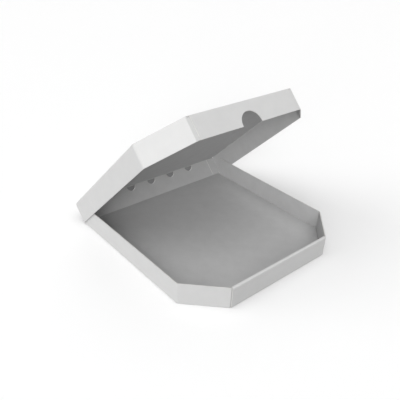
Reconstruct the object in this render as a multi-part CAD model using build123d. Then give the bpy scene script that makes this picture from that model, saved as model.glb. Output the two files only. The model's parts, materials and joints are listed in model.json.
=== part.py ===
from build123d import *
from math import sqrt
import os

# A folding pizza box of white fluted board, with its two front corners cut at 45 degrees.
# Lengths are millimetres and +Z is up. The origin is the middle of the tray's underside,
# the front faces -Y, and the lid turns on the crease along the tray's back edge.

# The tray and its board
box_width = 330.0              # outside the tray's side walls
box_depth = 330.0              # from the tray's front face to the back wall's outer face, lid shut
tray_height = 37.5             # table to the rim of the tray
corner_cut = 58.0              # leg of the 45 degree corner, along each wall
board = 1.6                    # thickness of the board
crease_radius = 0.5            # inner radius of a sharp fold
corner_radius = 5.0            # and of the softer one between a side wall and its cut corner
layer_gap = 0.4                # air between layers of board that lie loosely on each other
crease_lead = 3.0              # straight board beside a fold, before the next panel starts
relief = 1.0                   # width of the nick at the end of a crease

# The tray's front: corner flaps held in a wall that rolls over them and locks in the floor
tray_flap_length = 62.0        # corner flap behind the front wall
flap_taper = 9.0               # how far a corner flap narrows towards its end
flap_lean = 4.0                # how much lower its end is than its root, at each side
lock_tab_width = 34.0          # tabs of the inner front wall
lock_tab_spacing = 110.0       # between the middles of the two tabs
lock_tab_clearance = 0.35      # round each tab in its slot
edge_clearance = 0.5           # free edges from the board they stand beside
table_clearance = 0.3          # free edges and tabs from the table

# The lid
side_gap = 0.6                 # between the lid's side walls and the tray's
swing_gap = 0.35               # between the lid's front and the tray's rim as the one swings past
top_gap = 0.4                  # between the tray's rim and the lid's panel, lid shut
lid_rim_height = 1.0           # lid's rim above the table, lid shut
lid_flap_length = 48.0         # corner flap glued behind the lid's front wall
lid_flap_inset = 0.5           # that flap's edges from the rim and from the panel
lid_front_setback = 7.0        # end of the lid's front wall, back from its corner
back_flap_length = 20.0        # side wall's flap glued inside the back wall
back_flap_foot = 4.0           # its lower edge above the crease
open_angle = 44.5              # how far the lid stands open, in degrees
hinge_gap = 0.45               # between the floor's end and the rounded foot of the back wall

# Thumb notch in the lid's front wall
notch_radius = 20.0
notch_rise = 1.5               # its centre above the rim

# Vents: half-moon tongues cut in the back wall and bent out at their chord
vent_count = 5
vent_radius = 9.5
vent_spacing = 48.0
vent_kerf = 0.5                # width of the curved cut
vent_tilt = 18.0               # how far a tongue is bent out, in degrees
vent_below_crease = 0.6        # its chord below the fold

# Sizes that follow
fold = crease_radius + board
half_width = box_width / 2
half_depth = box_depth / 2
hinge_y = half_depth - board / 2
hinge_z = board / 2
shut_height = tray_height + top_gap + board
pocket = 2 * layer_gap + 3 * board
layer_pitch = board + layer_gap
half_turn_tangent = sqrt(2) - 1                 # of half the 45 degree turn at a cut corner
corner_lead = (corner_radius + board) * half_turn_tangent + edge_clearance
overrun = 2 * board


def swing_room(reach):
    """How far the tray's rim, a reach from the crease, stands out from the arc that the lid's rim takes."""
    return sqrt(reach**2 + (tray_height - hinge_z) ** 2) - reach


front_gap = swing_room(half_depth + hinge_y) + swing_gap
cut_gap = swing_room(half_depth + hinge_y - corner_cut) / sqrt(2) + swing_gap


def offset_line(points, distance):
    """The points of an open outline, moved to the left of its run by a distance."""
    moved = []
    for index, point in enumerate(points):
        before = points[max(index - 1, 0)]
        after = points[min(index + 1, len(points) - 1)]
        run_in = (point - before) if index else (after - point)
        run_out = (after - point) if index < len(points) - 1 else run_in
        left_in = run_in.normalized().rotate(Axis.Z, 90)
        left_out = run_out.normalized().rotate(Axis.Z, 90)
        share = 1 / (1 + left_in.dot(left_out))
        moved.append(point + (left_in + left_out) * distance * share)
    return moved


def section(outline, first_radius=crease_radius):
    """Section of a folded sheet whose outer face follows the outline, with the board on its left."""
    outer = [Vector(x, y) for x, y in outline]
    inner = offset_line(outer, board)
    radii = [first_radius] + [crease_radius] * (len(outer) - 3)
    outer_face = FilletPolyline(*outer, radius=[radius + board for radius in radii])
    inner_face = FilletPolyline(*inner, radius=radii)
    ends = [Line(outer[0], inner[0]), Line(outer[-1], inner[-1])]
    return make_face([*outer_face.edges(), *inner_face.edges(), *ends])


def across(outline, half_length):
    """A run of board folded about lines along X, as wide as twice the half length."""
    return extrude(Plane.YZ * section(outline), half_length, both=True)


def along(outline, back, front):
    """A run of board folded about lines along Y, from its back end to its front end."""
    return extrude(Plane.XZ.offset(-back) * section(outline), back - front)


def upright(outline, low, high, first_radius=crease_radius):
    """A run of board folded about upright lines, between two heights."""
    return extrude(Plane.XY.offset(low) * section(outline, first_radius), high - low)


def plate(outline, low):
    """A flat panel of board."""
    return extrude(Plane.XY.offset(low) * make_face(Polyline(*outline, close=True)), board)


def block(x_from, x_to, y_from, y_to, z_from, z_to):
    """A plain block between two corners, for cuts."""
    size = (x_to - x_from, y_to - y_from, z_to - z_from)
    middle = ((x_from + x_to) / 2, (y_from + y_to) / 2, (z_from + z_to) / 2)
    return Pos(*middle) * Box(*size)


def trim_flap(strip, root, tip, low, high, near, far):
    """Cut a corner flap back from its root line to a tapered tongue between two heights."""
    outline = [
        (root, low),
        (tip - flap_taper, low),
        (tip, low + flap_lean),
        (tip, high - flap_lean),
        (tip - flap_taper, high),
        (root, high),
    ]
    face = make_face(Polyline(*outline, close=True))
    tongue = extrude(Plane.XZ.offset(-far) * face, far - near)
    waste = block(root, tip + overrun, near, far, low - box_depth, high + box_depth)
    return strip - (waste - tongue)


def both_sides(piece):
    """A left-hand piece and its mirror image."""
    return piece + mirror(piece, about=Plane.YZ)


def tray():
    """Floor, side walls, cut corners with their flaps, and the rolled front wall: one sheet."""
    front = -half_depth
    cut_y = front + corner_cut
    cut_x = corner_cut - half_width
    wall_back = hinge_y - hinge_z - board - side_gap - layer_gap
    wall_front = cut_y + corner_lead
    inner_x = half_width - fold
    reach = board + edge_clearance
    edge_sum = corner_cut + reach * sqrt(2)

    channel = along(
        [(-half_width, tray_height), (-half_width, 0), (half_width, 0), (half_width, tray_height)],
        wall_back,
        wall_front,
    )
    floor_front = front + fold
    floor = plate(
        [
            (-inner_x, hinge_y),
            (-inner_x, front + edge_sum - fold),
            (edge_sum - fold - half_width, floor_front),
            (half_width - edge_sum + fold, floor_front),
            (inner_x, front + edge_sum - fold),
            (inner_x, hinge_y),
        ],
        0,
    )
    groove = Pos(0, hinge_y, hinge_z) * Rot(0, 90, 0) * Cylinder(board / 2 + hinge_gap, box_width + overrun)
    floor -= groove

    inner_foot = board + layer_gap
    rolled = across(
        [
            (front + pocket, inner_foot),
            (front + pocket, tray_height),
            (front, tray_height),
            (front, 0),
            (front + pocket + crease_lead, 0),
        ],
        -cut_x,
    )
    inner_front = front + pocket - board
    for side in (-1, 1):
        tab_x = side * lock_tab_spacing / 2
        tab_from = tab_x - lock_tab_width / 2
        tab_to = tab_x + lock_tab_width / 2
        room = lock_tab_clearance
        slot = block(
            tab_from - room,
            tab_to + room,
            inner_front - room,
            front + pocket + room,
            -overrun,
            inner_foot - layer_gap / 2,
        )
        floor -= slot
        rolled -= slot
        rolled += block(tab_from, tab_to, inner_front, front + pocket, table_clearance, inner_foot)

    flap_face = front + layer_pitch
    flap_root = cut_x - layer_pitch + fold
    corner = upright(
        [
            (-half_width, wall_front),
            (-half_width, cut_y),
            (cut_x - layer_pitch, flap_face),
            (cut_x + tray_flap_length, flap_face),
        ],
        table_clearance,
        tray_height,
        corner_radius,
    )
    corner -= block(
        -half_width - overrun,
        fold - half_width,
        wall_front - relief,
        wall_front + overrun,
        -overrun,
        fold,
    )
    corner = trim_flap(
        corner,
        cut_x - crease_radius,
        cut_x + tray_flap_length,
        board + edge_clearance,
        tray_height - board - edge_clearance,
        front,
        flap_face + fold,
    )
    return channel + floor + rolled + both_sides(corner)


def vent_tongue():
    """One half-moon tongue, hanging from its chord and bent out of the back wall."""
    radius = vent_radius - vent_kerf
    disc = Rot(90, 0, 0) * Cylinder(radius, board)
    half = disc & block(-radius, radius, -board, board, -radius, 0)
    bead = Rot(0, 90, 0) * Cylinder(board / 2, 2 * radius)
    return bead + Rot(vent_tilt, 0, 0) * half


def lid_shut():
    """Panel, back wall, side walls, cut corners and notched front wall, as they lie on the tray."""
    half_lid = half_width + side_gap + board
    flap_face = -half_depth - front_gap - board
    front = flap_face - board
    cut_sum = corner_cut - (cut_gap + board) * sqrt(2)
    cut_y = cut_sum - half_depth + half_lid - half_width
    cut_x = cut_sum - half_width - half_depth - flap_face
    top = shut_height
    rim = lid_rim_height
    back_face = half_depth - board
    wall_back = back_face - crease_lead
    wall_front = cut_y + corner_lead

    channel = along(
        [(half_lid, rim), (half_lid, top), (-half_lid, top), (-half_lid, rim)],
        wall_back,
        wall_front,
    )
    inner_x = half_lid - fold
    reach = board + edge_clearance
    edge_y = cut_y - fold + reach * sqrt(2)
    panel_front = front + fold
    edge_x = cut_x + flap_face - panel_front + reach * sqrt(2)
    panel = plate(
        [
            (-inner_x, half_depth - fold),
            (-inner_x, edge_y),
            (edge_x, panel_front),
            (-edge_x, panel_front),
            (inner_x, edge_y),
            (inner_x, half_depth - fold),
        ],
        top - board,
    )
    back_wall = across([(half_depth, hinge_z), (half_depth, top), (half_depth - 2 * fold, top)], half_width)
    foot = Pos(0, hinge_y, hinge_z) * Rot(0, 90, 0) * Cylinder(board / 2, box_width)
    front_end = -cut_x - lid_front_setback
    front_wall = across([(front + 2 * fold, top), (front, top), (front, rim)], front_end)
    notch = Pos(0, front, rim + notch_rise) * Rot(90, 0, 0) * Cylinder(notch_radius, 4 * fold)
    front_wall -= notch

    corner = upright(
        [
            (-half_lid, wall_front),
            (-half_lid, cut_y),
            (cut_x, flap_face),
            (cut_x + lid_flap_length, flap_face),
        ],
        rim,
        top - table_clearance,
        corner_radius,
    )
    corner -= block(
        -half_lid - overrun,
        fold - half_lid,
        wall_front - relief,
        wall_front + overrun,
        top - fold,
        top + overrun,
    )
    corner = trim_flap(
        corner,
        cut_x + crease_lead,
        cut_x + lid_flap_length,
        rim + lid_flap_inset,
        top - board - lid_flap_inset,
        front,
        flap_face + fold,
    )
    back_corner = upright(
        [
            (back_flap_length - half_lid, back_face),
            (-half_lid, back_face),
            (-half_lid, wall_back),
        ],
        rim,
        top - fold,
    )
    back_corner -= block(
        fold - half_lid,
        half_width,
        back_face - fold,
        half_depth,
        -overrun,
        back_flap_foot,
    )

    lid = channel + panel + back_wall + foot + front_wall + both_sides(corner) + both_sides(back_corner)
    chord_z = top - fold - vent_below_crease
    for index in range(vent_count):
        vent_x = (index - (vent_count - 1) / 2) * vent_spacing
        hole = Rot(90, 0, 0) * Cylinder(vent_radius, 2 * fold)
        hole &= block(-vent_radius, vent_radius, -2 * fold, 2 * fold, -vent_radius, 0)
        lid -= Pos(vent_x, hinge_y, chord_z) * hole
        lid += Pos(vent_x, hinge_y, chord_z) * vent_tongue()
    return lid


def main():
    os.makedirs("parts", exist_ok=True)
    hinge = Axis((0, hinge_y, hinge_z), (1, 0, 0))
    export_step(tray(), "parts/tray.step")
    export_step(lid_shut().rotate(hinge, -open_angle), "parts/lid.step")


main()
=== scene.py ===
"""Looks of a folding pizza box of white fluted board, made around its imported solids.

Each of its two bodies is one sheet. It is cut out flat as a blank, folded crease by crease, and
given its two liners and the wavy paper that shows between them at every cut edge.
Lengths are metres, +Z is up and the front faces -Y, as in the solids.
"""

import json
import math

import bmesh
import bpy
from mathutils import Matrix, Vector
from mathutils.geometry import delaunay_2d_cdt


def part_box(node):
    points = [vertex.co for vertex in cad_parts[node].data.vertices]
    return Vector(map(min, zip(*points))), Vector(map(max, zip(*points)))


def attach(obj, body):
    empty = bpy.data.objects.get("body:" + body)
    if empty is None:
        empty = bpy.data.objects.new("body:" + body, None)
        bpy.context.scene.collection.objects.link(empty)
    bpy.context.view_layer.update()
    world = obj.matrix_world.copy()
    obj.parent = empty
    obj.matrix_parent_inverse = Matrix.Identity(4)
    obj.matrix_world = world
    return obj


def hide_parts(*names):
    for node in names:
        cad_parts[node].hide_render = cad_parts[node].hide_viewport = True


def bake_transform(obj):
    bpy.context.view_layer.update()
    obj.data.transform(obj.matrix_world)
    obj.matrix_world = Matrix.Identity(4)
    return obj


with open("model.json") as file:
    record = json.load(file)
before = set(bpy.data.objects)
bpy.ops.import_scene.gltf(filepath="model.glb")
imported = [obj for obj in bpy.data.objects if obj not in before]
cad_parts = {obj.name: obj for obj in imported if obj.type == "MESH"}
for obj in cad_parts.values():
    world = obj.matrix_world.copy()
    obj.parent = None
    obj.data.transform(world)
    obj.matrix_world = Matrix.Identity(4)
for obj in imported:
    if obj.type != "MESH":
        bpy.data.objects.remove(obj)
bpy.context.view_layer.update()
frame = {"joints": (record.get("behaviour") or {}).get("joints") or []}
tray_low, tray_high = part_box("tray")
hinge = frame["joints"][0]

# Sizes read from the solids
half_width = tray_high.x
tray_front = tray_low.y
tray_height = tray_high.z
hinge_y = hinge["pos_m"][1]
hinge_z = hinge["pos_m"][2]
open_angle = -math.radians(hinge["range_deg"][0])

# The board and its folds
board = 0.0016
crease_radius = 0.0005          # inner radius of a sharp fold
corner_radius = 0.005           # and of the softer one between a side wall and its cut corner
layer_gap = 0.0004              # air between layers of board that lie loosely on each other
crease_lead = 0.003             # straight board beside a fold
relief = 0.001                  # width of the nick at the end of a crease
corner_cut = 0.058              # leg of the 45 degree corner, along each wall
edge_clearance = 0.0005         # free edges from the board that they stand beside
table_clearance = 0.0003        # and from the table

# The tray's front
tray_flap_length = 0.062        # corner flap behind the front wall
flap_taper = 0.009              # how far a corner flap narrows towards its end
flap_lean = 0.004               # how much lower its end is than its root, at each side
lock_tab_width = 0.034
lock_tab_spacing = 0.110        # between the middles of the two tabs
lock_tab_clearance = 0.00035

# The lid
side_gap = 0.0006               # between the lid's side walls and the tray's
swing_gap = 0.00035             # between the lid's front and the tray's rim as the one swings past
top_gap = 0.0004                # between the tray's rim and the lid's panel, lid shut
lid_rim_height = 0.001          # lid's rim above the table, lid shut
lid_flap_length = 0.048         # corner flap glued behind the front wall
lid_flap_inset = 0.0005         # that flap's edges from the rim and from the panel
lid_front_setback = 0.007       # end of the front wall, back from its corner
back_flap_length = 0.020        # side wall's flap glued inside the back wall
back_flap_foot = 0.004          # its lower edge above the crease
notch_radius = 0.020
notch_rise = 0.0015             # the notch's centre above the rim
vent_count = 5
vent_radius = 0.0095
vent_spacing = 0.048
vent_kerf = 0.0005              # width of the curved cut round a tongue
vent_tilt = math.radians(18)    # how far a tongue is bent out
vent_below_crease = 0.0006      # its chord below the fold
vent_bend = 0.0008              # how soon a tongue takes its tilt below the chord

# The crease that joins the two bodies
crease_reach_tray = 0.0012      # from the hinge line to the end of the tray's floor
crease_reach_lid = 0.0010       # from the hinge line to the end of the lid's back wall
crease_overlap = 0.0004         # how far the crease's board goes on inside its neighbours
crease_skin = 0.000005          # how much thinner than theirs it is, at each face
crease_side_room = 0.0002       # how far the lid's foot reaches past its ends

# The paper
liner = 0.00024                 # thickness of a liner where it is cut
flute_paper = 0.0002            # thickness of the wavy paper
flute_pitch = 0.0033
flute_samples = 8               # points along one wave
edge_groove = 0.0005            # depth of the hollow between the liners at a cut edge
flute_setback = 0.00008         # cut edge of the wavy paper, behind the liners'

# Fineness of the meshes
bend_steps = 6
support = 0.0004                # beside each bend, so that the shading stays there
grid = 0.012                    # between the points inside a panel
grid_margin = 0.004             # least distance of such a point from an edge or a bend
arc_step = math.radians(7.5)
crease_runs = 4                 # rows of points on each leg of the crease's board
crease_steps = 8                # and round its bend
merge_distance = 1e-7           # points that are nearer to each other than this are one
least_mitre = 0.5               # keeps the way into the paper short at a sharp corner
sharp_angle = math.radians(40)  # from here on an edge is shaded sharp

# The looks of the papers, in the order of the meshes' material slots. The tongues' liner is the grey
# one darkened only as painted shade, so that the vents look as dark as a shaded hollow.
paper_looks = {
    "white_liner": {
        "light": (0.67, 0.67, 0.667),
        "dark": (0.635, 0.635, 0.632),
        "roughness": 0.55,
        "grain": 0.00003,
        "fleck": 0.25,
    },
    "grey_liner": {
        "light": (0.535, 0.535, 0.535),
        "dark": (0.475, 0.475, 0.475),
        "roughness": 0.85,
        "grain": 0.00005,
        "fleck": 0.6,
    },
    "wavy_paper": {
        "light": (0.80, 0.795, 0.78),
        "dark": (0.70, 0.69, 0.67),
        "roughness": 0.9,
        "grain": 0.00004,
        "fleck": 0.6,
    },
    # painted shade: the grey liner made darker on the vents' tongues, which are the same paper
    "tongue_liner": {
        "light": (0.31, 0.31, 0.31),
        "dark": (0.26, 0.26, 0.26),
        "roughness": 0.85,
        "grain": 0.00005,
        "fleck": 0.6,
    },
}
outer_paper, inner_paper, core_paper, tongue_painted_shade_paper = range(len(paper_looks))
cloud_noise = {"Scale": 45.0, "Detail": 4.0, "Roughness": 0.6}
fibre_noise = {"Scale": 900.0, "Detail": 3.0, "Roughness": 0.7}
dark_from = 0.35                # where the dark fibres begin to lighten
light_from = 0.75               # and where they are fully light, in a paper with no flecks
gloss_spread = 0.06             # roughness of the fibres, up and down from the paper's
wave_radians = 20               # phase of Blender's wave texture in one unit, at scale 1
fibre_height = 0.35             # of the fibres in the grain, where a flute's rib is 1
bump_strength = 0.5

# How far panels bulge, inwards if above zero
lid_panel_bow = 0.0010
lid_wall_bow = -0.0003
tray_wall_bow = 0.0004

# Stage, lights and camera. Each sun has the way towards it, its width in degrees and its strength.
# The camera was fitted to the corners of the photographed box.
floor_drop = 0.0001
floor_size = 12.0
floor_roughness = 0.9
floor_white = (0.96, 0.96, 0.96, 1)
white = (1, 1, 1, 1)
backdrop_strength = 1.0         # what the camera sees beyond the floor
sky_strength = 0.28             # what the sky gives the box
lights = {
    "overhead": {"towards": (0, 0, 1), "spread": 90, "strength": 1.31},
    "front_left": {"towards": (-0.6, -0.7, 0.5), "spread": 25, "strength": 0.98},
    "front_left_low": {"towards": (-0.8, -0.6, 0.15), "spread": 30, "strength": 0.75},
    "left": {"towards": (-1, -0.35, 0.3), "spread": 30, "strength": 0.27},
    "back_left": {"towards": (-0.8, 0.6, 0.5), "spread": 50, "strength": 1.0},
}
camera_azimuth = math.radians(-41.56)
camera_elevation = math.radians(30.70)
camera_roll = math.radians(2.63)
camera_distance = 0.97535
camera_target = Vector((0.03501, 0.07615, 0.0200))
camera_lens = 45.74
sensor = 36.0

# Sizes that follow
fold = crease_radius + board
half_depth = hinge_y + board / 2
shut_height = tray_height + top_gap + board
pocket = 2 * layer_gap + 3 * board
layer_pitch = board + layer_gap
corner_cut_y = tray_front + corner_cut
corner_cut_x = half_width - corner_cut
right_angle = math.pi / 2
half_right = math.pi / 4
fold_side = fold * math.tan(half_right / 2)     # from a 45 degree corner to where its bend starts
corner_side = (corner_radius + board) * math.tan(half_right / 2)    # and at a softer corner
corner_lead = corner_side + edge_clearance
fold_slack = layer_gap / 4                      # a point this near to a side's fold isn't past it
left_right = (-1, 1)


class Panel:
    """A flat panel: where a point of the blank lies once the sheet is folded."""

    def __init__(self, origin, across, onward, inward, bow=None):
        self.origin = origin
        self.directions = (across, onward)
        self.inward = inward
        self.bow = bow

    def place(self, x, y, depth):
        bulge = self.bow(x, y) if self.bow else 0
        return self.origin + self.directions[0] * x + self.directions[1] * y + self.inward * (depth + bulge)


class Bend:
    """A fold towards the inner face. It starts at a line of the blank, x or y, and runs up or down it."""

    def __init__(self, before, axis, line, sign, angle, bow=None, radius=crease_radius):
        self.before = before
        self.axis = axis
        self.line = line
        self.sign = sign
        self.angle = angle
        self.outer_radius = radius + board
        self.width = angle * (radius + board / 2)
        self.end = line + sign * self.width
        self.run = before.directions[axis] * sign
        sine = math.sin(angle)
        cosine = math.cos(angle)
        directions = list(before.directions)
        directions[axis] = (self.run * cosine + before.inward * sine) * sign
        foot = before.origin + before.directions[axis] * line
        foot += (self.run * sine + before.inward * (1 - cosine)) * self.outer_radius
        inward = before.inward * cosine - self.run * sine
        self.after = Panel(foot - directions[axis] * self.end, directions[0], directions[1], inward, bow)

    def place(self, x, y, depth):
        at = [x, y]
        turn = (at[self.axis] - self.line) * self.sign / self.width * self.angle
        at[self.axis] = self.line
        radius = self.outer_radius - depth
        start = self.before.origin + self.before.directions[0] * at[0] + self.before.directions[1] * at[1]
        rise = self.outer_radius - radius * math.cos(turn)
        return start + self.run * radius * math.sin(turn) + self.before.inward * rise

    def has(self, x, y):
        """Whether a point of the blank is in the bend, and not past it."""
        return ((x, y)[self.axis] - self.line) * self.sign < self.width

    def lines(self):
        """The lines of the blank that the mesh needs here, supports included."""
        shares = [step / bend_steps for step in range(bend_steps + 1)]
        inside = [self.line + self.sign * self.width * share for share in shares]
        return [self.line - self.sign * support, *inside, self.end + self.sign * support]


def hump(value, low, high):
    """A smooth window: zero at both ends and 1 in the middle."""
    middle = (low + high) / 2
    return 1 - ((value - middle) / (high - middle)) ** 2


def swing_room(reach):
    """How much farther the tray's rim is from the hinge line than its foot, which is a reach away."""
    return math.sqrt(reach**2 + (tray_height - hinge_z) ** 2) - reach


def on_arc(middle, radius, angle):
    """The point of an arc at an angle, as x and y."""
    return middle[0] + radius * math.cos(angle), middle[1] + radius * math.sin(angle)


def mirrored(right):
    """A closed outline from its right half, which runs from the back middle to the front middle."""
    return [Vector(p) for p in right] + [Vector((-x, y)) for x, y in reversed(right)]


class Tray:
    """The tray's blank: its outline and slots, its creases, and where each point of it lies."""

    def __init__(self):
        floor = Panel(Vector((0, 0, 0)), Vector((1, 0, 0)), Vector((0, 1, 0)), Vector((0, 0, 1)))
        self.side_line = half_width - fold
        self.front_line = tray_front + fold
        self.wall_back = hinge_y - hinge_z - board - side_gap - layer_gap
        self.wall_front = corner_cut_y + corner_lead
        self.corner_line = corner_cut_y + corner_side

        self.floor = floor
        self.sides = {}
        for side in left_right:
            side_bend = Bend(floor, 0, side * self.side_line, side, right_angle, self.wall_bow)
            corner_bend = Bend(side_bend.after, 1, self.corner_line, -1, half_right, None, corner_radius)
            diagonal = (corner_cut - layer_pitch) * math.sqrt(2)
            flap_line = corner_bend.end - diagonal + corner_side + fold_side
            flap_bend = Bend(corner_bend.after, 1, flap_line, -1, half_right)
            self.sides[side] = (side_bend, corner_bend, flap_bend)
        wall_run = tray_height - 2 * fold
        self.front_bend = Bend(floor, 1, self.front_line, -1, right_angle)
        self.rim_bend = Bend(self.front_bend.after, 1, self.front_bend.end - wall_run, -1, right_angle)
        rim_run = pocket - 2 * fold
        self.roll_bend = Bend(self.rim_bend.after, 1, self.rim_bend.end - rim_run, -1, right_angle)

    def wall_bow(self, x, y):
        rise = (abs(x) - self.side_line) / tray_height
        return tray_wall_bow * rise * max(hump(y, self.corner_line, self.wall_back), 0)

    def bends(self):
        side_bend, corner_bend, flap_bend = self.sides[1]
        side_bends = [side_bend, self.sides[-1][0], corner_bend, flap_bend]
        return [*side_bends, self.front_bend, self.rim_bend, self.roll_bend]

    def across(self, height):
        """Where a height of the side wall lies in the blank."""
        return self.sides[1][0].end + height - fold

    def outline(self):
        flap_bend = self.sides[1][2]
        flap_start = corner_cut_x + layer_pitch - fold_side
        root = flap_bend.end - (flap_start - corner_cut_x - crease_radius)
        tip = flap_bend.end - (flap_start - corner_cut_x + tray_flap_length)
        low = board + edge_clearance
        high = tray_height - board - edge_clearance
        rim = self.across(tray_height)
        foot = self.across(table_clearance)
        edge_sum = corner_cut + (board + edge_clearance) * math.sqrt(2)
        edge_y = tray_front + edge_sum - fold
        inner_foot = self.roll_bend.end - (tray_height - fold - board - layer_gap)
        tab_foot = inner_foot - (board + layer_gap - table_clearance)
        tab_near = (lock_tab_spacing - lock_tab_width) / 2
        tab_far = (lock_tab_spacing + lock_tab_width) / 2
        return mirrored(
            [
                (self.side_line, hinge_y - crease_reach_tray),
                (self.side_line, self.wall_back),
                (rim, self.wall_back),
                (rim, root),
                (self.across(high), root),
                (self.across(high), tip + flap_taper),
                (self.across(high - flap_lean), tip),
                (self.across(low + flap_lean), tip),
                (self.across(low), tip + flap_taper),
                (self.across(low), root),
                (foot, root),
                (foot, self.wall_front - relief),
                (self.across(fold), self.wall_front - relief),
                (self.across(fold), self.wall_front),
                (self.side_line, self.wall_front),
                (self.side_line, edge_y),
                (corner_cut_x, edge_y - (self.side_line - corner_cut_x)),
                (corner_cut_x, inner_foot),
                (tab_far, inner_foot),
                (tab_far, tab_foot),
                (tab_near, tab_foot),
                (tab_near, inner_foot),
            ]
        )

    def holes(self):
        """The two slots that the tabs lock in."""
        slots = []
        for side in left_right:
            middle = side * lock_tab_spacing / 2
            reach = lock_tab_width / 2 + lock_tab_clearance
            far = tray_front + pocket + lock_tab_clearance
            near = tray_front + pocket - board - lock_tab_clearance
            corners = [(-reach, near), (reach, near), (reach, far), (-reach, far)]
            slots.append([Vector((middle + x, y)) for x, y in corners])
        return slots

    def part_at(self, x, y):
        """The panel or bend that a point of the blank is in."""
        if abs(x) > self.side_line + fold_slack:
            side_bend, corner_bend, flap_bend = self.sides[1 if x > 0 else -1]
            if y > self.corner_line:
                in_bend = side_bend.has(x, y) and y > self.wall_front - relief / 2
                return side_bend if in_bend else side_bend.after
            if corner_bend.has(x, y):
                return corner_bend
            if y > flap_bend.line:
                return corner_bend.after
            return flap_bend if flap_bend.has(x, y) else flap_bend.after
        if y >= self.front_line:
            return self.floor
        for bend, next_bend in ((self.front_bend, self.rim_bend), (self.rim_bend, self.roll_bend)):
            if bend.has(x, y):
                return bend
            if y > next_bend.line:
                return bend.after
        return self.roll_bend if self.roll_bend.has(x, y) else self.roll_bend.after

    def inner_paper_at(self, point):
        """The paper inside at a point of the blank. The tray's is the same all over."""
        return inner_paper

    def place(self, x, y, depth):
        return self.part_at(x, y).place(x, y, depth)


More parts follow.
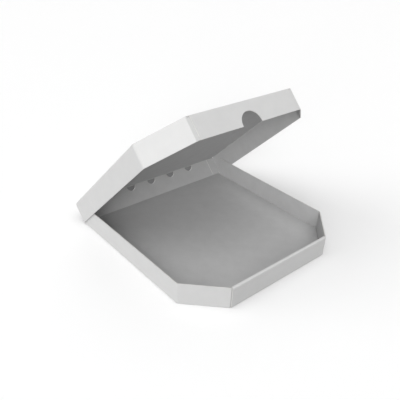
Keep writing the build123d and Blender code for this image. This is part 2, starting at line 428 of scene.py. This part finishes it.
class Lid:
    """The lid's blank, folded as it lies shut on the tray and then turned open."""

    def __init__(self):
        half_lid = half_width + side_gap + board
        reach = hinge_y - tray_front
        front_gap = swing_room(reach) + swing_gap
        cut_gap = swing_room(reach - corner_cut) / math.sqrt(2) + swing_gap
        flap_face = tray_front - front_gap - board
        cut_sum = corner_cut - (cut_gap + board) * math.sqrt(2)
        self.front = flap_face - board
        self.cut_y = cut_sum + tray_front + side_gap + board
        self.cut_x = half_width - (cut_sum + tray_front - flap_face)
        self.diagonal = (half_lid - self.cut_x) * math.sqrt(2)
        self.side_line = half_lid - fold
        self.front_line = self.front + fold
        self.back_line = half_depth - fold
        self.wall_back = half_depth - board - crease_lead
        self.wall_front = self.cut_y + corner_lead
        self.corner_line = self.cut_y + corner_side
        self.flap_line = half_depth - board - fold

        up = Vector((0, 0, shut_height))
        panel = Panel(up, Vector((1, 0, 0)), Vector((0, 1, 0)), Vector((0, 0, -1)), self.panel_bow)
        self.panel = panel
        self.sides = {}
        for side in left_right:
            side_bend = Bend(panel, 0, side * self.side_line, side, right_angle, self.wall_bow)
            corner_bend = Bend(side_bend.after, 1, self.corner_line, -1, half_right, None, corner_radius)
            flap_line = corner_bend.end - self.diagonal + corner_side + fold_side
            flap_bend = Bend(corner_bend.after, 1, flap_line, -1, half_right)
            back_bend = Bend(side_bend.after, 1, self.flap_line, 1, right_angle)
            self.sides[side] = (side_bend, corner_bend, flap_bend, back_bend)
        self.front_bend = Bend(panel, 1, self.front_line, -1, right_angle)
        self.back_bend = Bend(panel, 1, self.back_line, 1, right_angle)
        self.chord = self.back_bend.end + vent_below_crease
        self.vents = [(step - (vent_count - 1) / 2) * vent_spacing for step in range(vent_count)]
        turn = Matrix.Rotation(-open_angle, 4, "X")
        middle = Vector((0, hinge_y, hinge_z))
        self.turn = Matrix.Translation(middle) @ turn @ Matrix.Translation(-middle)

    def panel_bow(self, x, y):
        window = hump(x, -self.side_line, self.side_line) * hump(y, self.front_line, self.back_line)
        return lid_panel_bow * max(window, 0)

    def wall_bow(self, x, y):
        drop = (abs(x) - self.side_line) / shut_height
        return lid_wall_bow * drop * max(hump(y, self.corner_line, self.flap_line), 0)

    def bends(self):
        side_bend, corner_bend, flap_bend, back_bend = self.sides[1]
        side_bends = [side_bend, self.sides[-1][0], corner_bend, flap_bend, back_bend]
        return [*side_bends, self.front_bend, self.back_bend]

    def across(self, height):
        """Where a height of the shut lid's side wall lies in the blank."""
        return self.sides[1][0].end + shut_height - fold - height

    def outline(self):
        flap_bend = self.sides[1][2]
        back_bend = self.sides[1][3]
        root = flap_bend.end - (crease_lead - fold_side)
        tip = flap_bend.end - (lid_flap_length - fold_side)
        low = lid_rim_height + lid_flap_inset
        high = shut_height - board - lid_flap_inset
        rim = self.across(lid_rim_height)
        top = self.across(shut_height - table_clearance)
        turned = self.across(shut_height - fold)
        edge_reach = (board + edge_clearance) * math.sqrt(2)
        edge_y = self.cut_y - fold + edge_reach
        edge_x = self.side_line - (edge_y - self.front_line)
        foot = self.back_bend.end + shut_height - fold - hinge_z
        front_rim = self.front_bend.end - (shut_height - fold - lid_rim_height)
        front_end = self.cut_x - lid_front_setback
        flap_end = back_bend.end + back_flap_length - fold
        notch_start = math.asin(notch_rise / notch_radius)
        notch_steps = math.ceil((right_angle + notch_start) / arc_step)
        notch = []
        for step in range(notch_steps, 0, -1):
            angle = right_angle - (right_angle + notch_start) * step / notch_steps
            notch.append(on_arc((0, front_rim + notch_rise), notch_radius, angle))
        return mirrored(
            [
                (half_width - fold + crease_side_room, foot - crease_reach_lid),
                (half_width - fold + crease_side_room, foot),
                (half_width, foot),
                (half_width, self.back_line),
                (self.side_line, self.back_line),
                (self.side_line, self.wall_back),
                (turned, self.wall_back),
                (turned, flap_end),
                (self.across(back_flap_foot), flap_end),
                (self.across(back_flap_foot), back_bend.end),
                (rim, back_bend.end),
                (rim, root),
                (self.across(low), root),
                (self.across(low), tip + flap_taper),
                (self.across(low + flap_lean), tip),
                (self.across(high - flap_lean), tip),
                (self.across(high), tip + flap_taper),
                (self.across(high), root),
                (top, root),
                (top, self.wall_front - relief),
                (turned, self.wall_front - relief),
                (turned, self.wall_front),
                (self.side_line, self.wall_front),
                (self.side_line, edge_y),
                (edge_x, self.front_line),
                (front_end, self.front_line),
                (front_end, front_rim),
                *notch,
            ]
        )

    def holes(self):
        """The curved cuts round the vents' tongues."""
        cuts = []
        steps = math.ceil(math.pi / arc_step)
        for vent in self.vents:
            middle = (vent, self.chord)
            cut = []
            for step in range(steps + 1):
                cut.append(on_arc(middle, vent_radius, math.pi * step / steps))
            for step in range(steps + 1):
                cut.append(on_arc(middle, vent_radius - vent_kerf, math.pi * (1 - step / steps)))
            cuts.append([Vector(point) for point in cut])
        return cuts

    def part_at(self, x, y):
        """The panel or bend that a point of the blank is in."""
        if abs(x) > self.side_line + fold_slack:
            side_bend, corner_bend, flap_bend, back_bend = self.sides[1 if x > 0 else -1]
            if y > back_bend.line:
                return back_bend if back_bend.has(x, y) else back_bend.after
            if y > self.corner_line:
                in_bend = side_bend.has(x, y) and y > self.wall_front - relief / 2
                return side_bend if in_bend else side_bend.after
            if corner_bend.has(x, y):
                return corner_bend
            if y > flap_bend.line:
                return corner_bend.after
            return flap_bend if flap_bend.has(x, y) else flap_bend.after
        if y > self.back_line:
            return self.back_bend if self.back_bend.has(x, y) else self.back_bend.after
        if y >= self.front_line:
            return self.panel
        return self.front_bend if self.front_bend.has(x, y) else self.front_bend.after

    def on_tongue(self, x, y):
        """Whether a point of the blank is on the tongue of a vent."""
        nearest = min(self.vents, key=lambda middle: abs(x - middle))
        return y > self.chord and math.hypot(x - nearest, y - self.chord) < vent_radius - vent_kerf / 2

    def inner_paper_at(self, point):
        """The paper inside at a point of the blank. The tongues get the grey liner darkened with painted
        shade.
        """
        return tongue_painted_shade_paper if self.on_tongue(point.x, point.y) else inner_paper

    def tongue_tilt(self, x, y):
        """How far a point of the blank is bent out of the back wall with a vent's tongue."""
        if not self.on_tongue(x, y):
            return 0
        return vent_tilt * min((y - self.chord) / vent_bend, 1)

    def place(self, x, y, depth):
        point = self.part_at(x, y).place(x, y, depth)
        tilt = self.tongue_tilt(x, y)
        if tilt:
            pivot = self.back_bend.after.place(x, self.chord, board / 2)
            point = pivot + Matrix.Rotation(tilt, 3, "X") @ (point - pivot)
        return self.turn @ point


def fine_loop(loop):
    """A closed outline with no side longer than the grid."""
    fine = []
    for start, end in zip(loop, loop[1:] + loop[:1]):
        steps = max(1, math.ceil((end - start).length / grid))
        fine += [start.lerp(end, step / steps) for step in range(steps)]
    return fine


def inside(point, loop):
    """Whether a point is inside a closed outline."""
    found = False
    for start, end in zip(loop, loop[1:] + loop[:1]):
        if (start.y > point.y) != (end.y > point.y):
            if point.x < start.x + (point.y - start.y) / (end.y - start.y) * (end.x - start.x):
                found = not found
    return found


def distance_to(point, start, end):
    """How far a point is from a stretch of line."""
    run = end - start
    share = min(max((point - start).dot(run) / run.length_squared, 0), 1)
    return (start + run * share - point).length


def cut_blank(blank):
    """The blank as flat points and triangles, with lines along every bend."""
    outline = fine_loop(blank.outline())
    holes = [fine_loop(hole) for hole in blank.holes()]
    loops = [outline, *holes]
    low = Vector((min(p.x for p in outline), min(p.y for p in outline)))
    high = Vector((max(p.x for p in outline), max(p.y for p in outline)))
    points = []
    edges = []
    for loop in loops:
        first = len(points)
        points += loop
        edges += [(first + i, first + (i + 1) % len(loop)) for i in range(len(loop))]
    fences = [(points[a], points[b]) for a, b in edges]
    for bend in blank.bends():
        for line in bend.lines():
            ends = [Vector(low), Vector(high)]
            for end in ends:
                end[bend.axis] = line
            first = len(points)
            points += ends
            edges.append((first, first + 1))
            fences.append(tuple(ends))
    rows = math.ceil((high.y - low.y) / grid)
    columns = math.ceil((high.x - low.x) / grid)
    for row in range(1, rows):
        for column in range(1, columns):
            x = low.x + (high.x - low.x) * column / columns
            y = low.y + (high.y - low.y) * row / rows
            point = Vector((x, y))
            if inside(point, outline) and min(distance_to(point, *fence) for fence in fences) > grid_margin:
                points.append(point)
    flat, _, faces, _, _, _ = delaunay_2d_cdt(points, edges, [], 0, merge_distance)
    kept = []
    for face in faces:
        middle = sum((flat[i] for i in face), Vector((0, 0))) / len(face)
        if inside(middle, outline) and not any(inside(middle, hole) for hole in holes):
            kept.append(tuple(face))
    used = sorted({i for face in kept for i in face})
    number = {old: new for new, old in enumerate(used)}
    return [flat[i] for i in used], [tuple(number[i] for i in face) for face in kept]


def boundary_loops(faces):
    """The cut edges of a flat mesh, as loops that keep the paper on their left."""
    following = {}
    sides = set()
    for face in faces:
        for a, b in zip(face, face[1:] + face[:1]):
            sides.add((a, b))
    for a, b in sides:
        if (b, a) not in sides:
            following[a] = b
    loops = []
    while following:
        first = next(iter(following))
        loop = [first]
        step = following.pop(first)
        while step != first:
            loop.append(step)
            step = following.pop(step)
        loops.append(loop)
    return loops


def inward_of(loop):
    """For each corner of a closed loop, the way into the paper, longer where the corner is sharp."""
    ways = []
    for index, point in enumerate(loop):
        run_in = (point - loop[index - 1]).normalized()
        run_out = (loop[(index + 1) % len(loop)] - point).normalized()
        left_in = Vector((-run_in.y, run_in.x))
        left_out = Vector((-run_out.y, run_out.x))
        ways.append((left_in + left_out) / max(1 + left_in.dot(left_out), least_mitre))
    return ways


class Shell:
    """A mesh in the making: its points, its faces with their paper, and where each lies in the blank."""

    def __init__(self):
        self.points = []
        self.blank = []
        self.faces = []
        self.papers = []

    def add(self, point, flat, depth):
        self.points.append(point)
        self.blank.append((flat[0], flat[1], depth))
        return len(self.points) - 1

    def face(self, corners, paper):
        self.faces.append(tuple(corners))
        self.papers.append(paper)


def add_skins(shell, blank, flat, faces, flipped):
    """Both liners of the sheet. Returns the points of each."""
    outer = [shell.add(blank.place(p.x, p.y, 0), p, 0) for p in flat]
    inner = [shell.add(blank.place(p.x, p.y, board), p, board) for p in flat]
    for face in faces:
        down = [outer[i] for i in reversed(face)]
        up = [inner[i] for i in face]
        shell.face(reversed(down) if flipped else down, outer_paper)
        middle = sum((flat[i] for i in face), Vector((0, 0))) / len(face)
        shell.face(reversed(up) if flipped else up, blank.inner_paper_at(middle))
    return outer, inner


def add_edges(shell, blank, flat, loop, outer, inner, flipped):
    """The cut edge along a loop: the liners' cut edges and the hollow between them."""
    ways = inward_of([flat[i] for i in loop])
    rails = []
    for index, way in zip(loop, ways):
        point = flat[index]
        deep = point + way * edge_groove
        rails.append(
            [
                outer[index],
                shell.add(blank.place(point.x, point.y, liner), point, liner),
                shell.add(blank.place(deep.x, deep.y, liner), deep, liner),
                shell.add(blank.place(deep.x, deep.y, board - liner), deep, board - liner),
                shell.add(blank.place(point.x, point.y, board - liner), point, board - liner),
                inner[index],
            ]
        )
    papers = (outer_paper, core_paper, core_paper, core_paper, inner_paper)
    for here, there in zip(rails, rails[1:] + rails[:1]):
        for level, paper in enumerate(papers):
            corners = [here[level], there[level], there[level + 1], here[level + 1]]
            shell.face(reversed(corners) if flipped else corners, paper)


def add_flutes(shell, blank, loop, flipped):
    """The wavy paper that shows in the hollow of a cut edge. Its flutes run along the blank's x."""
    ways = inward_of(loop)
    sway = board / 2 - liner - flute_paper / 2
    stations = []
    for index, start in enumerate(loop):
        end = loop[(index + 1) % len(loop)]
        way = ways[index]
        next_way = ways[(index + 1) % len(loop)]
        waves = abs(end.y - start.y) / flute_pitch
        steps = max(1, math.ceil(waves * flute_samples))
        for step in range(steps):
            share = step / steps
            stations.append((start.lerp(end, share), way.lerp(next_way, share)))
    rings = []
    for point, way in stations:
        middle = board / 2 + sway * math.sin(2 * math.pi * point.y / flute_pitch)
        ring = []
        for reach, side in ((flute_setback, -1), (flute_setback, 1), (edge_groove, 1), (edge_groove, -1)):
            at = point + way * reach
            depth = middle + side * flute_paper / 2
            ring.append(shell.add(blank.place(at.x, at.y, depth), at, depth))
        rings.append(ring)
    for here, there in zip(rings, rings[1:] + rings[:1]):
        for level in range(len(here)):
            after = (level + 1) % len(here)
            corners = [here[level], there[level], there[after], here[after]]
            shell.face(reversed(corners) if flipped else corners, core_paper)


def merge_points(mesh):
    """Makes one point of those that coincide, so that no face is left without an area."""
    merged = bmesh.new()
    merged.from_mesh(mesh)
    bmesh.ops.remove_doubles(merged, verts=merged.verts, dist=merge_distance)
    merged.to_mesh(mesh)
    merged.free()


def finished(name, shell, papers):
    """The shell as an object, smooth over its bends and sharp at its cut edges."""
    mesh = bpy.data.meshes.new(name)
    mesh.from_pydata([tuple(p) for p in shell.points], [], shell.faces)
    for paper in papers:
        mesh.materials.append(paper)
    mesh.polygons.foreach_set("material_index", shell.papers)
    mesh.polygons.foreach_set("use_smooth", [True] * len(shell.faces))
    place = mesh.attributes.new("blank", "FLOAT_VECTOR", "POINT")
    place.data.foreach_set("vector", [value for point in shell.blank for value in point])
    merge_points(mesh)
    mesh.set_sharp_from_angle(angle=sharp_angle)
    mesh.update()
    piece = bpy.data.objects.new(name, mesh)
    bpy.context.scene.collection.objects.link(piece)
    return piece


def make_sheet(name, blank, papers, flipped):
    """One body's sheet. Its faces are flipped where the blank is drawn as seen from its outer side."""
    flat, faces = cut_blank(blank)
    shell = Shell()
    outer, inner = add_skins(shell, blank, flat, faces, flipped)
    for loop in boundary_loops(faces):
        add_edges(shell, blank, flat, loop, outer, inner, flipped)
        add_flutes(shell, blank, [flat[i] for i in loop], flipped)
    return finished(name, shell, papers)


def crease_section():
    """The crease's board from the side: points of its outer and inner face, and how far along they are."""
    half = board / 2 - crease_skin
    middle = Vector((0, hinge_y, hinge_z))
    back = Vector((0, math.sin(open_angle), math.cos(open_angle)))
    outer_way = Vector((0, math.cos(open_angle), -math.sin(open_angle)))
    floor_end = crease_reach_tray + crease_overlap
    lid_end = crease_reach_lid + crease_overlap
    section = []
    for step in range(crease_runs):
        along = -floor_end * (1 - step / crease_runs)
        section.append((middle + Vector((0, along, -half)), middle + Vector((0, along, half)), along))
    turn = right_angle - open_angle
    inner_corner = half / math.cos(turn / 2)
    inner_way = -Vector((0, math.sin(turn / 2), -math.cos(turn / 2)))
    for step in range(crease_steps + 1):
        angle = turn * step / crease_steps
        down = Vector((0, math.sin(angle), -math.cos(angle)))
        section.append((middle + down * half, middle + inner_way * inner_corner, 0))
    for step in range(1, crease_runs + 1):
        along = lid_end * step / crease_runs
        centre = middle + back * along
        section.append((centre + outer_way * half, centre - outer_way * half, along))
    return section


def make_crease(papers):
    """The board of the crease between the bodies. Its outer face rounds the hinge line."""
    section = crease_section()
    shell = Shell()
    half_length = half_width - fold
    columns = math.ceil(2 * half_length / grid)
    rows = []
    for column in range(columns + 1):
        x = -half_length + 2 * half_length * column / columns
        rows.append(
            [
                (
                    shell.add(outer + Vector((x, 0, 0)), (x, hinge_y + along), 0),
                    shell.add(inner + Vector((x, 0, 0)), (x, hinge_y + along), board),
                )
                for outer, inner, along in section
            ]
        )
    for left, right in zip(rows, rows[1:]):
        for index in range(len(section) - 1):
            a, b = left[index], left[index + 1]
            c, d = right[index + 1], right[index]
            shell.face((a[0], b[0], c[0], d[0]), outer_paper)
            shell.face((d[1], c[1], b[1], a[1]), inner_paper)
        shell.face((left[0][0], right[0][0], right[0][1], left[0][1]), core_paper)
        shell.face((left[-1][0], left[-1][1], right[-1][1], right[-1][0]), core_paper)
    for row, flipped in ((rows[0], False), (rows[-1], True)):
        for index in range(len(section) - 1):
            corners = (row[index][0], row[index][1], row[index + 1][1], row[index + 1][0])
            shell.face(reversed(corners) if flipped else corners, core_paper)
    return finished("hinge_crease", shell, papers)


def node(tree, kind, **values):
    """A shader node with its properties set, and its inputs by name or number."""
    made = tree.nodes.new(kind)
    for name, value in values.items():
        if name == "inputs":
            for key, number in value.items():
                made.inputs[key].default_value = number
        else:
            setattr(made, name, value)
    return made


def paper_material(name, light, dark, roughness, grain, fleck):
    """Paper with cloudy fibres, fine flecks and a faint ribbing from the flutes below."""
    material = bpy.data.materials.new(name)
    material.use_nodes = True
    tree = material.node_tree
    tree.nodes.clear()
    join = tree.links.new
    output = node(tree, "ShaderNodeOutputMaterial")
    shader = node(tree, "ShaderNodeBsdfPrincipled")
    join(shader.outputs["BSDF"], output.inputs["Surface"])
    place = node(tree, "ShaderNodeAttribute", attribute_name="blank")

    cloud = node(tree, "ShaderNodeTexNoise", inputs=cloud_noise)
    join(place.outputs["Vector"], cloud.inputs["Vector"])
    fibres = node(tree, "ShaderNodeTexNoise", inputs=fibre_noise)
    join(place.outputs["Vector"], fibres.inputs["Vector"])
    blend = node(tree, "ShaderNodeMath", operation="MULTIPLY_ADD", inputs={1: fleck, 2: 0.0})
    join(fibres.outputs["Fac"], blend.inputs[0])
    join(cloud.outputs["Fac"], blend.inputs[2])
    shade = node(tree, "ShaderNodeValToRGB")
    shade.color_ramp.elements[0].position = dark_from
    shade.color_ramp.elements[0].color = (*dark, 1)
    shade.color_ramp.elements[1].position = light_from + fleck / 2
    shade.color_ramp.elements[1].color = (*light, 1)
    join(blend.outputs["Value"], shade.inputs["Fac"])
    join(shade.outputs["Color"], shader.inputs["Base Color"])

    gloss_range = {"To Min": roughness - gloss_spread, "To Max": roughness + gloss_spread}
    gloss = node(tree, "ShaderNodeMapRange", inputs=gloss_range)
    join(fibres.outputs["Fac"], gloss.inputs["Value"])
    join(gloss.outputs["Result"], shader.inputs["Roughness"])

    ribs = node(tree, "ShaderNodeTexWave", wave_type="BANDS", bands_direction="Y", wave_profile="SIN")
    ribs.inputs["Scale"].default_value = 2 * math.pi / flute_pitch / wave_radians
    join(place.outputs["Vector"], ribs.inputs["Vector"])
    relief_mix = node(tree, "ShaderNodeMath", operation="MULTIPLY_ADD", inputs={1: fibre_height})
    join(fibres.outputs["Fac"], relief_mix.inputs[0])
    join(ribs.outputs["Fac"], relief_mix.inputs[2])
    bump = node(tree, "ShaderNodeBump", inputs={"Strength": bump_strength, "Distance": grain})
    join(relief_mix.outputs["Value"], bump.inputs["Height"])
    join(bump.outputs["Normal"], shader.inputs["Normal"])
    return material


def make_stage():
    """A wide white floor just under the box."""
    bpy.ops.mesh.primitive_plane_add(size=floor_size, location=(0, 0, -floor_drop))
    floor = bpy.context.object
    floor.name = "stage_floor"
    material = bpy.data.materials.new("stage_white")
    material.use_nodes = True
    shader = material.node_tree.nodes["Principled BSDF"]
    shader.inputs["Base Color"].default_value = floor_white
    shader.inputs["Roughness"].default_value = floor_roughness
    floor.data.materials.append(material)
    floor.visible_diffuse = False       # it throws no light back onto the box


def make_light():
    """Soft suns and a dim sky, with a white backdrop that only the camera sees."""
    world = bpy.data.worlds.new("sky")
    bpy.context.scene.world = world
    world.use_nodes = True
    tree = world.node_tree
    sky = tree.nodes["Background"]
    sky.inputs["Color"].default_value = white
    sky.inputs["Strength"].default_value = sky_strength
    backdrop = node(tree, "ShaderNodeBackground", inputs={"Color": white, "Strength": backdrop_strength})
    path = node(tree, "ShaderNodeLightPath")
    choice = node(tree, "ShaderNodeMixShader")
    tree.links.new(path.outputs["Is Camera Ray"], choice.inputs["Fac"])
    tree.links.new(sky.outputs["Background"], choice.inputs[1])
    tree.links.new(backdrop.outputs["Background"], choice.inputs[2])
    tree.links.new(choice.outputs["Shader"], tree.nodes["World Output"].inputs["Surface"])
    for name, values in lights.items():
        light = bpy.data.lights.new(name, "SUN")
        light.energy = values["strength"]
        light.angle = math.radians(values["spread"])
        lamp = bpy.data.objects.new(name, light)
        lamp.rotation_mode = "QUATERNION"
        lamp.rotation_quaternion = Vector(values["towards"]).to_track_quat("Z", "Y")
        bpy.context.scene.collection.objects.link(lamp)


def make_camera():
    """The camera at the photograph's viewing angle."""
    azimuth, elevation, roll = camera_azimuth, camera_elevation, camera_roll
    back = Vector(
        (
            math.sin(azimuth) * math.cos(elevation),
            -math.cos(azimuth) * math.cos(elevation),
            math.sin(elevation),
        )
    )
    level = Vector((math.cos(azimuth), math.sin(azimuth), 0))
    upward = back.cross(level)
    right = level * math.cos(roll) + upward * math.sin(roll)
    up = upward * math.cos(roll) - level * math.sin(roll)
    camera = bpy.data.objects.new("camera", bpy.data.cameras.new("camera"))
    turn = Matrix((right, up, back)).transposed().to_4x4()
    camera.matrix_world = Matrix.Translation(camera_target + back * camera_distance) @ turn
    camera.data.lens = camera_lens
    camera.data.sensor_width = sensor
    bpy.context.scene.collection.objects.link(camera)
    bpy.context.scene.camera = camera


papers = [paper_material(name, **look) for name, look in paper_looks.items()]

tray_sheet = make_sheet("tray_sheet", Tray(), papers, False)
lid_sheet = make_sheet("lid_sheet", Lid(), papers, True)
hinge_crease = make_crease(papers)
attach(tray_sheet, "tray")
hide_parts("tray")
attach(lid_sheet, "lid")
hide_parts("lid")
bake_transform(hinge_crease)

make_stage()
make_light()
make_camera()
bpy.context.scene.view_settings.view_transform = "Standard"

bpy.context.view_layer.update()
